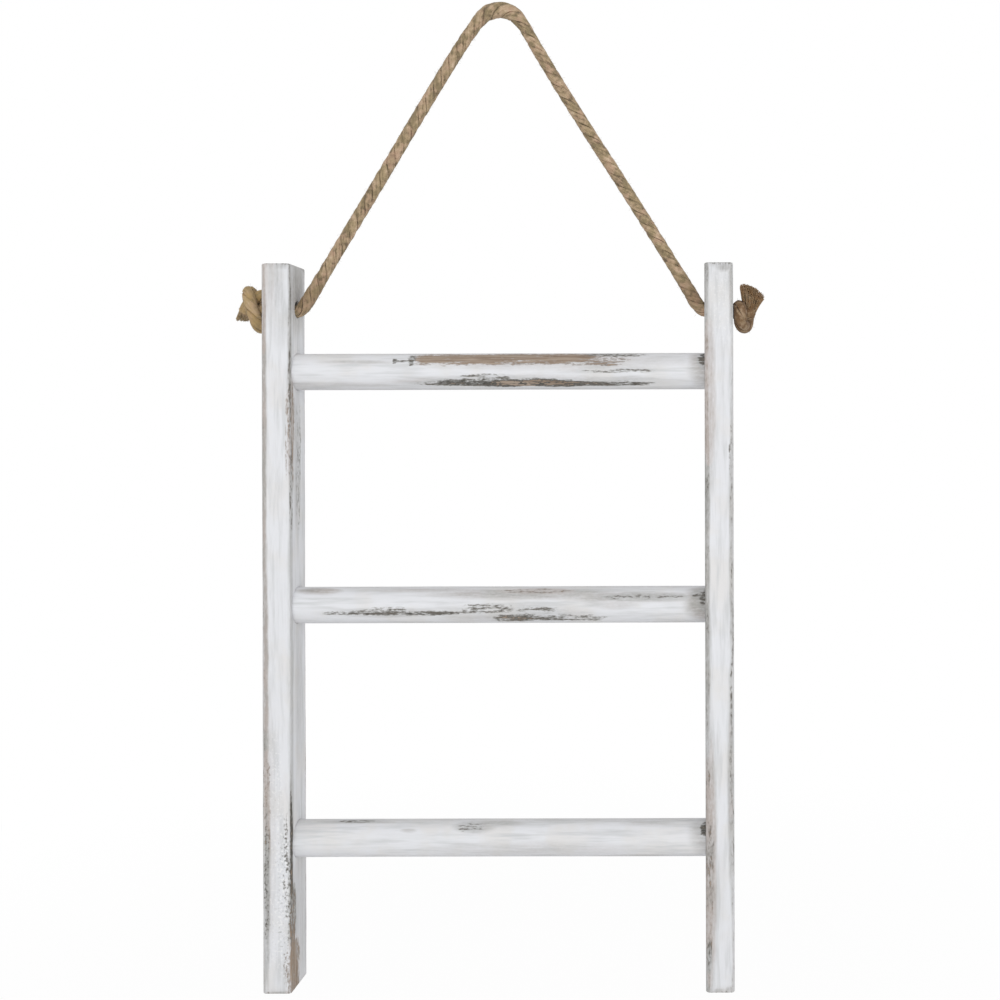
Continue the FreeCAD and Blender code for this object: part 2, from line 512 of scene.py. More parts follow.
rope_diameter = 11 * MM
drawn_diameter = 10.6 * MM
rope_lay = 38 * MM
rope_spacing = 1.8 * MM
strand_lay = 130 * MM
strand_count = 3
yarn_count = 9
yarn_sides = 4
yarn_ridge_share = 0.05
strand_lump_share = 0.30
strand_middle_share = 0.53
strand_half_share = 0.45
strand_half_angle = math.radians(59.5)
strand_corner_power = 6
# Painted shade in the grooves between the strands and between the yarns
strand_groove_share = 1.6
yarn_groove_share = 0.06
bend_swell_share = 0.28
bend_core_share = 0.2
bend_length = 30 * MM
exit_swell_share = 0.4
exit_shares = (0.9, 1.3, 1.6)
hole_length = 25 * MM
exit_length = 70 * MM
rope_soil = 0.05
rope_exit_soil = 0.4
rope_seed = 1
lump_scale = 110
lump_strand_step = 5.3
lump_seed_step = 9.1
lump_blotch = 1.0
lump_detail = 1.0

rail_low, rail_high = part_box("right_rail")
inner_x = rail_low.x
outer_x = rail_high.x
hole_z = -249.5 * MM

# The rope's line, from the left knot over the hook to the right one: x and z in millimetres
rope_points = [
    (-197.3, -249.5), (-181, -249.6), (-170, -252.3), (-157.0, -230), (-105.5, -145), (-63.8, -75),
    (-36.2, -30), (-24.4, -12.6), (-15.0, -0.2), (-5.6, 4.6), (5.0, 4.6), (14.2, -0.2), (22.4, -12.6),
    (32.2, -30), (59.3, -75), (104.4, -145), (157.6, -230), (170, -252.3), (181, -249.6), (197.3, -249.5),
]
rope_route = [Vector((x, 0, z)) * MM for x, z in rope_points]


def store(geometry, name, value, kind="FLOAT"):
    settings = {"data_type": kind, "domain": "POINT"}
    inputs = {"Geometry": geometry, "Name": name, "Value": value}
    return add_node(geometry.tree, "GeometryNodeStoreNamedAttribute", settings, inputs)


def stored(tree, name, kind="FLOAT"):
    return add_node(tree, "GeometryNodeInputNamedAttribute", {"data_type": kind}, {"Name": name})


def random_share(tree, number, seed):
    """A random value from 0 to 1 for each number."""
    inputs = {"ID": number, "Seed": seed}
    return add_node(tree, "FunctionNodeRandomValue", {"data_type": "FLOAT"}, inputs, output=1)


def round_section(tree, radius, sides):
    """A yarn's or fibre's section, which knows how far round each of its points is."""
    circle = add_node(tree, "GeometryNodeCurvePrimitiveCircle", {}, {"Resolution": sides, "Radius": radius})
    factor = add_node(tree, "GeometryNodeSplineParameter", {}, {})
    return store(circle, "around", factor)


def spaced_line(tree, geometry, spacing):
    """A line of points as a curve with evenly spaced points."""
    curve = add_node(tree, "GeometryNodeMeshToCurve", {}, {"Mesh": geometry})
    inputs = {"Curve": curve, "Length": spacing}
    return add_node(tree, "GeometryNodeResampleCurve", {"mode": "LENGTH"}, inputs)


def copied(curve, count):
    """As many copies of a curve, each with its number."""
    inputs = {"Geometry": curve, "Amount": count}
    copies = add_node(curve.tree, "GeometryNodeDuplicateElements", {"domain": "SPLINE"}, inputs)
    return copies, copies.output("Duplicate Index")


def run_so_far(tree):
    """How far along its curve each point is."""
    return add_node(tree, "GeometryNodeSplineParameter", {}, {}, output="Length")


def swept(curve, section, closed=True):
    """The skin of a section swept along a curve, its ends closed or open."""
    inputs = {"Curve": curve, "Profile Curve": section, "Fill Caps": closed}
    return add_node(curve.tree, "GeometryNodeCurveToMesh", {}, inputs)


def laid_rope():
    """Strands pressed together and laid round a line to the left. Each strand is one skin with a ridge
    for each of its yarns, and the yarns are twisted to the right."""
    tree, geometry, size = new_growth("laid_rope", {
        "Strands": "NodeSocketInt",
        "Yarns": "NodeSocketInt",
        "Yarn Sides": "NodeSocketInt",
        "Rope Radius": "NodeSocketFloat",
        "Rope Lay": "NodeSocketFloat",
        "Strand Lay": "NodeSocketFloat",
        "Spacing": "NodeSocketFloat",
        "Bend Swell": "NodeSocketFloat",
        "Bend Length": "NodeSocketFloat",
        "Soil": "NodeSocketFloat",
        "Exit Soil": "NodeSocketFloat",
        "Seed": "NodeSocketInt",
        "Finish": "NodeSocketMaterial",
    })
    curve = spaced_line(tree, geometry, size["Spacing"])
    half = add_node(tree, "GeometryNodeSplineLength", {}, {}) / 2
    curve, number = copied(curve, size["Strands"])
    ahead = add_node(tree, "GeometryNodeInputTangent", {}, {})
    square = add_node(tree, "GeometryNodeInputNormal", {}, {})
    curve = store(curve, "along", run_so_far(tree))
    from_middle = abs(run_so_far(tree) - half)
    from_end = half - from_middle
    exit_start, exit_full, exit_fade = [hole_length * share for share in exit_shares]
    at_exit = from_end.step(exit_start, exit_full) - from_end.step(exit_fade, exit_length)
    at_bend = 1 - from_middle.step(size["Bend Length"] * bend_core_share, size["Bend Length"])
    curve = store(curve, "bent", at_bend + at_exit * exit_swell_share)
    curve = store(curve, "strand", number)
    curve = store(curve, "tone", random_share(tree, number, size["Seed"]))
    curve = store(curve, "soil", size["Soil"] + at_exit * size["Exit Soil"])
    curve = store(curve, "middle", add_node(tree, "GeometryNodeInputPosition", {}, {}), "FLOAT_VECTOR")
    curve = store(curve, "across", square, "FLOAT_VECTOR")
    curve = store(curve, "beside", vector_maths("CROSS_PRODUCT", ahead, square), "FLOAT_VECTOR")
    section = round_section(tree, size["Rope Radius"], size["Yarns"] * size["Yarn Sides"])
    skin = swept(curve, section)

    along = stored(tree, "along")
    around = stored(tree, "around")
    strand = stored(tree, "strand")
    twist = (around + along / size["Strand Lay"]) * WHOLE_TURN
    outwards = twist.cosine()
    sideways = twist.sine()
    ridge = (around * size["Yarns"] * WHOLE_TURN).cosine()
    spot = add_node(tree, "ShaderNodeCombineXYZ", {}, {
        "X": along * lump_scale,
        "Y": strand * lump_strand_step + outwards,
        "Z": size["Seed"] * lump_seed_step + sideways,
    })
    lump = noise_at(tree, spot, lump_blotch, lump_detail) - NOISE_MIDDLE
    power = strand_corner_power
    filling = (outwards ** power + sideways ** power) ** (-1 / power)
    filling = filling * (1 + ridge * yarn_ridge_share + lump * strand_lump_share)
    swell = 1 + size["Bend Swell"] * stored(tree, "bent")
    reach = size["Rope Radius"] * swell * (strand_middle_share + strand_half_share * filling * outwards)
    lie = strand / size["Strands"] - along / size["Rope Lay"]
    turn = lie * WHOLE_TURN + filling * sideways * strand_half_angle
    place = vector_maths("ADD", stored(tree, "middle", "FLOAT_VECTOR"), vector_maths(
        "ADD", scaled(stored(tree, "across", "FLOAT_VECTOR"), reach * turn.cosine()),
        scaled(stored(tree, "beside", "FLOAT_VECTOR"), reach * turn.sine())
    ))
    depth = 1 - reach / size["Rope Radius"] / swell
    # Painted shade: how deep each point lies between strands and yarns, kept to darken its colour
    skin = store(skin, "sunk_shade", depth * strand_groove_share + (1 - ridge) * yarn_groove_share)
    skin = add_node(tree, "GeometryNodeSetPosition", {}, {"Geometry": skin, "Position": place})
    for name in ("middle", "across", "beside", "strand", "bent"):
        skin = add_node(tree, "GeometryNodeRemoveAttribute", {}, {"Geometry": skin, "Name": name})
    end_growth(tree, skin, size["Finish"])
    return tree


rope_tree = laid_rope()


def rope_on(name, line, diameter, spacing, seed, finish, soil, exit_soil=0, swell=0):
    return grown(name, line, rope_tree, {
        "Strands": strand_count,
        "Yarns": yarn_count,
        "Yarn Sides": yarn_sides,
        "Rope Radius": diameter / 2,
        "Rope Lay": rope_lay,
        "Strand Lay": strand_lay,
        "Spacing": spacing,
        "Bend Swell": swell,
        "Bend Length": bend_length,
        "Soil": soil,
        "Exit Soil": exit_soil,
        "Seed": seed,
        "Finish": finish,
    })


rope_line = smooth_line("rope_line", rope_route)
rope_mesh = rope_on(
    "rope_strands", rope_line, drawn_diameter, rope_spacing, rope_seed, rope_jute,
    soil=rope_soil, exit_soil=rope_exit_soil, swell=bend_swell_share,
)
rope = add_piece("rope_strands", rope_mesh, "rope", ["hanging_rope"])


# Knots

knot_pitch = 7.7 * MM
knot_seat_gap = 0.3 * MM
knot_spacing = 1.0 * MM
left_knot_rope = 10.8 * MM
right_knot_rope = 11.2 * MM
left_knot_turn = math.radians(180)
right_knot_turn = math.radians(90)
left_knot_soil = 0.62
right_knot_soil = 1.1
left_knot_seed = 2
right_knot_seed = 3

# A knot's lengths as shares of its pitch
strand_share = 0.58
wrap_share = 1.66
bight_share = 1.09
crossing_share = 0.12
knot_route_shares = [
    (1.84, strand_share, 0),
    (1.80, crossing_share, bight_share),
    (1.66, -wrap_share, bight_share),
    (1.46, -wrap_share, -bight_share),
    (1.04, wrap_share, -bight_share),
    (0.78, wrap_share, bight_share),
    (0.62, -crossing_share, bight_share),
    (0.58, -strand_share, 0),
]
left_drop_share = 0.25
right_drop_share = 0.9
left_tail_shares = {"out": 2.30, "run": (0.56, -1.06, -0.55)}
right_tail_shares = {"out": 1.75, "run": (0.07, 0.5, 0.36)}

# How far points of the route are moved, in the same shares: out, up, front
left_nudge_shares = {
    2: (0.55, -0.05, 0),
    3: (0.6, -0.05, 0),
    4: (-0.1, -0.6, 0),
    5: (0, -0.6, 0),
    6: (0.1, 0.7, 0.5),
    7: (0, 0.8, 0.1),
}
right_nudge_shares = {2: (0, 0, 0.6), 3: (0.2, 0, 0.6), 4: (-0.28, 0.05, 0)}


def outside_point(side, out, up, front):
    return Vector((side * (outer_x + out), -front, hole_z + up))


def knot_route(side, turn, drop_share, nudge_shares, tail_shares):
    """An overhand knot's control points, its standing end in the rope hole and its tail at the outer
    end. The two knots are of opposite hands, each turned about its hole's line and hanging below it."""
    cosine = math.cos(turn)
    sine = math.sin(turn)
    points = [outside_point(side, knot_seat_gap, 0, 0)]
    tail = (tail_shares["out"], -strand_share, 0)
    for number, (out, across, beside) in enumerate(knot_route_shares + [tail]):
        across -= strand_share
        beside *= side
        shares = (out, across * cosine + beside * sine - drop_share, across * sine - beside * cosine)
        nudged = [share + nudge for share, nudge in zip(shares, nudge_shares.get(number, (0, 0, 0)))]
        points.append(outside_point(side, *[share * knot_pitch for share in nudged]))
    out, up, front = [share * knot_pitch for share in tail_shares["run"]]
    points.append(points[-1] + Vector((side * out, -front, up)))
    return points


left_route = knot_route(LEFT, left_knot_turn, left_drop_share, left_nudge_shares, left_tail_shares)
right_route = knot_route(RIGHT, right_knot_turn, right_drop_share, right_nudge_shares, right_tail_shares)


def add_knot(node, route, diameter, soil, seed, finish):
    name = node + "_strands"
    mesh = rope_on(name, smooth_line(name, route), diameter, knot_spacing, seed, finish, soil)
    return add_piece(name, mesh, "rope", [node])


left_knot = add_knot(
    "left_knot", left_route, left_knot_rope, left_knot_soil, left_knot_seed, golden_jute,
)
right_knot = add_knot(
    "right_knot", right_route, right_knot_rope, right_knot_soil, right_knot_seed, brown_jute,
)


# Frayed ends

fray_spacing = 2 * MM
fray_overlap = 1.5 * MM
fray_ring_power = 0.5
fray_fan_power = 1.3
# Painted shade of the fibres deep inside a frayed end
fray_sunk_shade_share = 0.6
fibre_taper_share = 0.6
fibre_sides = 4
wave_fibre_steps = (7.31, 3.77)
wave_length_share = 1.7
wave_blotch = 1.0
wave_detail = 1.0
root_share = 0.46


def frayed_end():
    """Fibres that leave a rope's end together and fan out along a line."""
    tree, geometry, size = new_growth("frayed_end", {
        "Fibres": "NodeSocketInt",
        "Root Radius": "NodeSocketFloat",
        "Spread": "NodeSocketFloat",
        "Flatness": "NodeSocketFloat",
        "Shortest": "NodeSocketFloat",
        "Waviness": "NodeSocketFloat",
        "Slant": "NodeSocketVector",
        "Dome": "NodeSocketFloat",
        "Fibre Radius": "NodeSocketFloat",
        "Length": "NodeSocketFloat",
        "Soil": "NodeSocketFloat",
        "Seed": "NodeSocketInt",
        "Finish": "NodeSocketMaterial",
    })
    curve = spaced_line(tree, geometry, fray_spacing)
    curve, number = copied(curve, size["Fibres"])
    share = add_node(tree, "GeometryNodeSplineParameter", {}, {})
    ahead = add_node(tree, "GeometryNodeInputTangent", {}, {})
    across = add_node(tree, "GeometryNodeInputNormal", {}, {})
    beside = vector_maths("CROSS_PRODUCT", ahead, across)
    ring = random_share(tree, number, size["Seed"]) ** fray_ring_power
    turn = random_share(tree, number, size["Seed"] + 1) * WHOLE_TURN
    reach = size["Root Radius"] + (size["Spread"] - size["Root Radius"]) * share ** fray_fan_power
    out = ring * reach
    shortened = random_share(tree, number, size["Seed"] + 2) * (1 - size["Shortest"]) * size["Length"]
    wide = scaled(across, out * turn.cosine())
    deep = scaled(beside, out * turn.sine() * size["Flatness"])
    offset = vector_maths("ADD", wide, deep)
    slant = add_node(tree, "ShaderNodeVectorMath", {"operation": "DOT_PRODUCT"},
                     {0: offset, 1: size["Slant"]}, output="Value")
    dome = ring ** 2 * size["Dome"] * size["Spread"]
    offset = vector_maths("SUBTRACT", offset, scaled(ahead, (shortened + slant + dome) * share))
    first_step, second_step = wave_fibre_steps
    spot = add_node(tree, "ShaderNodeCombineXYZ", {}, {
        "X": number * first_step, "Y": share * wave_length_share, "Z": number * second_step,
    })
    wave = noise_at(tree, spot, wave_blotch, wave_detail).output("Color")
    wave = vector_maths("SUBTRACT", wave, (NOISE_MIDDLE, NOISE_MIDDLE, NOISE_MIDDLE))
    offset = vector_maths("ADD", offset, scaled(wave, share * size["Waviness"]))

    curve = store(curve, "along", run_so_far(tree))
    curve = store(curve, "tone", random_share(tree, number, size["Seed"] + 3))
    # Painted shade: fibres nearer the middle of the brush get darker
    curve = store(curve, "sunk_shade", (1 - ring) * fray_sunk_shade_share)
    curve = store(curve, "soil", size["Soil"])
    curve = add_node(tree, "GeometryNodeSetPosition", {}, {"Geometry": curve, "Offset": offset})
    slimmed = {"Curve": curve, "Radius": 1 - share * fibre_taper_share}
    curve = add_node(tree, "GeometryNodeSetCurveRadius", {}, slimmed)
    fibres = swept(curve, round_section(tree, size["Fibre Radius"], fibre_sides))
    end_growth(tree, fibres, size["Finish"])
    return tree


fray_tree = frayed_end()


def add_fray(name, route, diameter, nodes, sizes):
    """A frayed end beyond a knot's route, in line with its last run."""
    run = (route[-1] - route[-2]).normalized()
    root = route[-1] - run * fray_overlap
    length = sizes["Length"]
    points = [root, root + run * (length / 2), root + run * length]
    sizes = {"Root Radius": diameter * root_share, **sizes}
    mesh = grown(name, smooth_line(name, points), fray_tree, sizes)
    return add_piece(name, mesh, "rope", nodes)


left_fray_sizes = {
    "Fibres": 240,
    "Length": 11 * MM,
    "Shortest": 0.75,
    "Spread": 5.4 * MM,
    "Flatness": 0.8,
    "Waviness": 3 * MM,
    "Slant": (0, 0, -0.9),
    "Dome": 0.0,
    "Fibre Radius": 0.2 * MM,
    "Soil": 0.25,
    "Seed": 11,
    "Finish": golden_jute,
}
right_fray_sizes = {
    "Fibres": 520,
    "Length": 25.5 * MM,
    "Shortest": 0.93,
    "Spread": 11.4 * MM,
    "Flatness": 0.8,
    "Waviness": 1.0 * MM,
    "Slant": (0.42, 0, 0),
    "Dome": 0.25,
    "Fibre Radius": 0.3 * MM,
    "Soil": 0.8,
    "Seed": 21,
    "Finish": bronze_jute,
}
left_fray = add_fray("left_frayed_end", left_route, left_knot_rope, ["left_tail"], left_fray_sizes)
right_fray = add_fray("right_frayed_end", right_route, right_knot_rope, ["right_tail"], right_fray_sizes)


# Stray fibres

stray_length = 3.6 * MM
stray_radius = 0.06 * MM
stray_shortest_share = 0.35
stray_spacing = 3 * MM
stray_tube_sides = 12
stray_sides = 3
stray_points = 4
stray_lean_low = (0.5, -0.4, -math.pi)
stray_lean_high = (1.45, 0.4, math.pi)
stray_middle_shares = (0.22, 0.55)
stray_tip_share = -0.05
rope_stray_density = 70000
knot_stray_density = 90000
rope_stray_seed = 31
left_stray_seed = 32
right_stray_seed = 33


def stray_fibres():
    """Short curved fibres that stand off the rope's surface."""
    tree, geometry, size = new_growth("stray_fibres", {
        "Rope Radius": "NodeSocketFloat",
        "Density": "NodeSocketFloat",
        "Fibre Length": "NodeSocketFloat",
        "Fibre Radius": "NodeSocketFloat",
        "Seed": "NodeSocketInt",
        "Finish": "NodeSocketMaterial",
    })
    curve = spaced_line(tree, geometry, stray_spacing)
    tube = swept(curve, round_section(tree, size["Rope Radius"], stray_tube_sides), closed=False)
    spots = add_node(tree, "GeometryNodeDistributePointsOnFaces", {},
                     {"Mesh": tube, "Density": size["Density"], "Seed": size["Seed"]})
    lean = add_node(tree, "FunctionNodeRandomValue", {"data_type": "FLOAT_VECTOR"},
                    {0: stray_lean_low, 1: stray_lean_high, "Seed": size["Seed"] + 1})
    stand = add_node(tree, "FunctionNodeRotateRotation", {"rotation_space": "LOCAL"},
                     {"Rotation": spots.output("Rotation"), "Rotate By": lean})
    stretch = add_node(tree, "FunctionNodeRandomValue", {"data_type": "FLOAT"},
                       {2: stray_shortest_share, 3: 1.0, "Seed": size["Seed"] + 2}, output=1)
    length = size["Fibre Length"]
    aside, up = [length * share for share in stray_middle_shares]
    middle = add_node(tree, "ShaderNodeCombineXYZ", {}, {"X": aside, "Z": up})
    tip = add_node(tree, "ShaderNodeCombineXYZ", {}, {"X": length * stray_tip_share, "Z": length})
    fibre = add_node(tree, "GeometryNodeCurveQuadraticBezier", {},
                     {"Resolution": stray_points, "Start": (0, 0, 0), "Middle": middle, "End": tip})
    hair = swept(fibre, round_section(tree, size["Fibre Radius"], stray_sides))
    hairs = add_node(tree, "GeometryNodeInstanceOnPoints", {},
                     {"Points": spots, "Instance": hair, "Rotation": stand, "Scale": stretch})
    end_growth(tree, hairs, size["Finish"])
    return tree


stray_tree = stray_fibres()


def add_fuzz(name, route, diameter, density, seed, finish):
    mesh = grown(name, smooth_line(name, route), stray_tree, {
        "Rope Radius": diameter * root_share,
        "Density": density,
        "Fibre Length": stray_length,
        "Fibre Radius": stray_radius,
        "Seed": seed,
        "Finish": finish,
    })
    return add_piece(name, mesh, "rope")


rope_fuzz = add_fuzz(
    "rope_fuzz", rope_route[2:-2], rope_diameter, rope_stray_density, rope_stray_seed, rope_jute,
)
left_fuzz = add_fuzz(
    "left_knot_fuzz", left_route, left_knot_rope, knot_stray_density, left_stray_seed, golden_jute,
)
right_fuzz = add_fuzz(
    "right_knot_fuzz", right_route, right_knot_rope, knot_stray_density, right_stray_seed, brown_jute,
)


# Timber

rung_names = ["top_rung", "middle_rung", "bottom_rung"]
socket_clearance = 0.15 * MM
socket_depth = 10 * MM
rope_hole_radius = 6.5 * MM
rope_hole_chamfer = 1.0 * MM
screw_head_radius = 4.1 * MM
screw_shank_radius = 2.1 * MM
screw_sink = 0.6 * MM
screw_reach = 47.6 * MM
cut_overrun = 5 * MM
seam_gap = 0.01 * MM
cutter_sides = 48
crease_angle = math.radians(32)
cap_shares = [0.8, 0.6, 0.4, 0.2]
noise_seed_steps = (7.7, 3.1)

# Wear of the paint: lengths in millimetres, losses and stains from 0 to 1
wander = 0.8
wander_length = 16.0
wander_seed = 5
mark_power = 4
smudge_and_shade_power = 2
mark_fade = 2.0
plain_weight = 0.05
patch_length = 55.0
patch_width = 5.0
patch_range = (0.14, 0.60)
patch_loss = 0.58


def quads_between(rings, points):
    """Faces that join each ring of points to the next."""
    faces = []
    for ring in range(rings - 1):
        low = ring * points
        for i in range(points):
            j = (i + 1) % points
            faces.append((low + i, low + j, low + points + j, low + points + i))
    return faces


def capped(rings):
    """A closed mesh through rings of points, its ends closed by shrinking rings and a middle point."""
    first = rings[0].mean(0)
    last = rings[-1].mean(0)
    rings = (
        [first + (rings[0] - first) * share for share in reversed(cap_shares)]
        + list(rings)
        + [last + (rings[-1] - last) * share for share in cap_shares]
    )
    points = len(rings[0])
    count = len(rings) * points
    faces = quads_between(len(rings), points)
    for i in range(points):
        j = (i + 1) % points
        faces.append((count, j, i))
        faces.append((count + 1, count - points + i, count - points + j))
    mesh = bpy.data.meshes.new("timber")
    mesh.from_pydata(np.vstack([*rings, first, last]).tolist(), [], faces)
    mesh.update()
    return mesh


def turned_cutter(profile, start, direction):
    """Points and faces of a cutter turned about a line along X from (along, radius) pairs."""
    rings = []
    for along, radius in profile:
        angles = np.arange(cutter_sides) / cutter_sides * WHOLE_TURN
        ring = np.empty((cutter_sides, 3))
        ring[:, 0] = start.x + direction * along
        ring[:, 1] = start.y + radius * np.cos(angles)
        ring[:, 2] = start.z + direction * radius * np.sin(angles)
        rings.append(ring)
    return capped(rings)


def cut(mesh, cutters):
    """A mesh with the cutters taken out of it."""
    holder = held("timber", mesh)
    tools = []
    for cutter in cutters:
        tool = held("cutter", cutter)
        modifier = holder.modifiers.new("cut", "BOOLEAN")
        modifier.solver = "MANIFOLD"
        modifier.object = tool
        tools.append(tool)
    result = evaluated_mesh(holder)
    for tool in tools:
        bpy.data.objects.remove(tool)
    seams = bmesh.new()
    seams.from_mesh(result)
    bmesh.ops.remove_doubles(seams, verts=seams.verts, dist=seam_gap)
    bmesh.ops.dissolve_degenerate(seams, edges=seams.edges, dist=seam_gap)
    seams.to_mesh(result)
    seams.free()
    return result


def screw_cutter(side, height):
    """The countersink and the pilot hole of one screw, from the outer face inwards."""
    slope = screw_head_radius - screw_shank_radius
    profile = [
        (-cut_overrun, screw_head_radius),
        (screw_sink, screw_head_radius),
        (screw_sink + slope, screw_shank_radius),
        (screw_reach, screw_shank_radius),
    ]
    return turned_cutter(profile, Vector((side * outer_x, 0, height)), -side)


def rung_height(name):
    low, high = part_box(name)
    return (low.z + high.z) / 2


def slow_noise(places, size, seed):
    """Smooth noise from -1 to 1 along a line of places."""
    row, layer = [seed * step for step in noise_seed_steps]
    return np.array([noise.noise(Vector((place / size, row, layer))) for place in places])


def spread(values, low, high):
    """Smooth step of an array from 0 at low to 1 at high."""
    share = np.clip((values - low) / (high - low), 0, 1)
    return share * share * (3 - 2 * share)


def marks_of_wear_and_shade(along, across, marks, plain_loss, plain_stain, power=mark_power):
    """Paint loss and stain where the listed rub marks lie, and in the same shapes paint greying and painted
    shade. Each mark is along, across, half length, half width, loss and stain."""
    loss = plain_loss
    weight = np.full(len(along), plain_weight)
    stain = weight * plain_stain
    across = across + slow_noise(along, wander_length, wander_seed) * wander
    for middle, beside, half_length, half_width, rub, dark in marks:
        far = ((along - middle) / half_length) ** power + ((across - beside) / half_width) ** 2
        strength = 1 - spread(far, 0, mark_fade)
        loss = np.maximum(loss, strength * rub)
        stain = stain + strength * dark
        weight = weight + strength
    return loss, stain / weight


def scattered_rubs(along, across, seed):
    """Patchy rubs for the sides that have no placed marks."""
    spots = zip(along / patch_length, across / patch_width)
    patches = [noise.noise(Vector((*spot, seed))) for spot in spots]
    return patch_loss * spread(np.array(patches), *patch_range)


def write_wear(mesh, **wear):
    for name, values in wear.items():
        layer = mesh.attributes.new(name, "FLOAT", "POINT")
        layer.data.foreach_set("value", values.astype(np.float32))


def vertex_places(mesh):
    places = np.empty(len(mesh.vertices) * 3)
    mesh.vertices.foreach_get("co", places)
    return places.reshape(-1, 3)


def smooth_shaded(mesh, material):
    mesh.shade_smooth()
    mesh.set_sharp_from_angle(angle=crease_angle)
    mesh.materials.clear()
    mesh.materials.append(material)


# Rails

rail_ring_step = 1.5 * MM
arris_points = 8
rail_edge_radius = 2.5 * MM
rail_end_ease = 1.4 * MM
rail_end_rings = 6
face_points = {"front": 24, "side": 26}
long_dent = 110 * MM
short_dent = 30 * MM
short_dent_share = 0.5
long_dent_seed = 5
short_dent_seed = 9
dent_range = (-0.5, 1.5)
dent_share = 0.35

# Wear of the rails' arrises and ends, in millimetres and shares
long_wave = 90.0
short_wave = 23.0
long_wave_share = 0.25
short_wave_share = 0.15
long_wave_seed = 90
short_wave_seed = 70
rail_patch_seed = 50
arris_fade_shares = (0.7, 1.15)
end_wear = 2.0
end_loss = 0.45


def rail_rings(side):
    """Rings of a rail's section up its length, the arrises worn unevenly and the ends eased."""
    low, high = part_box("left_rail" if side == LEFT else "right_rail")
    middle = (low + high) / 2
    half_width = (high.x - low.x) / 2
    half_depth = (high.y - low.y) / 2
    ends = np.linspace(0, rail_end_ease, rail_end_rings)
    body = np.arange(low.z + 2 * rail_end_ease, high.z - 2 * rail_end_ease, rail_ring_step)
    heights = np.concatenate([low.z + ends, body, (high.z - ends)[::-1]])
    end_gap = np.minimum(heights - low.z, high.z - heights)
    under = np.clip(rail_end_ease - end_gap, 0, None)
    inset = rail_end_ease - np.sqrt(rail_end_ease ** 2 - under ** 2)
    corners = [(1, -1), (1, 1), (-1, 1), (-1, -1)]
    radii = []
    for number in range(len(corners)):
        dents = slow_noise(heights, long_dent, side * long_dent_seed + number)
        small = slow_noise(heights, short_dent, side * short_dent_seed + number)
        dents = np.clip(dents + short_dent_share * small, *dent_range)
        radii.append(rail_edge_radius * (1 + dent_share * dents))
    rings = []
    for ring, height in enumerate(heights):
        outline = []
        for number, (across, back) in enumerate(corners):
            radius = radii[number][ring]
            centre_x = across * (half_width - inset[ring] - radius)
            centre_y = back * (half_depth - inset[ring] - radius)
            start = math.atan2(back, across) - math.pi / 4
            angles = start + np.linspace(0, math.pi / 2, arris_points)
            arc = np.stack([np.cos(angles), np.sin(angles)], 1)
            outline.append((centre_x, centre_y) + radius * arc)
        full = []
        for number, arc in enumerate(outline):
            after = outline[(number + 1) % len(outline)]
            count = face_points["side" if number % 2 == 0 else "front"]
            shares = np.linspace(0, 1, count + 1)[1:-1, None]
            full.append(arc)
            full.append(arc[-1] + (after[0] - arc[-1]) * shares)
        flat = np.vstack(full) + (middle.x, middle.y)
        rings.append(np.column_stack([flat, np.full(len(flat), height)]))
    return rings


def rail_cutters(side):
    """The rung sockets, screw seats and rope hole of one rail."""
    cutters = []
    for name in rung_names:
        low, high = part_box(name)
        radius = (high.z - low.z) / 2 + socket_clearance
        mouth = Vector((side * inner_x, 0, rung_height(name)))
        cutters.append(turned_cutter([(-cut_overrun, radius), (socket_depth, radius)], mouth, side))
        cutters.append(screw_cutter(side, rung_height(name)))
    width = outer_x - inner_x
    wide = rope_hole_radius + rope_hole_chamfer
    profile = [
        (-cut_overrun, wide + cut_overrun),
        (rope_hole_chamfer, rope_hole_radius),
        (width - rope_hole_chamfer, rope_hole_radius),
        (width + cut_overrun, wide + cut_overrun),
    ]
    cutters.append(turned_cutter(profile, Vector((side * inner_x, 0, hole_z)), side))
    return cutters


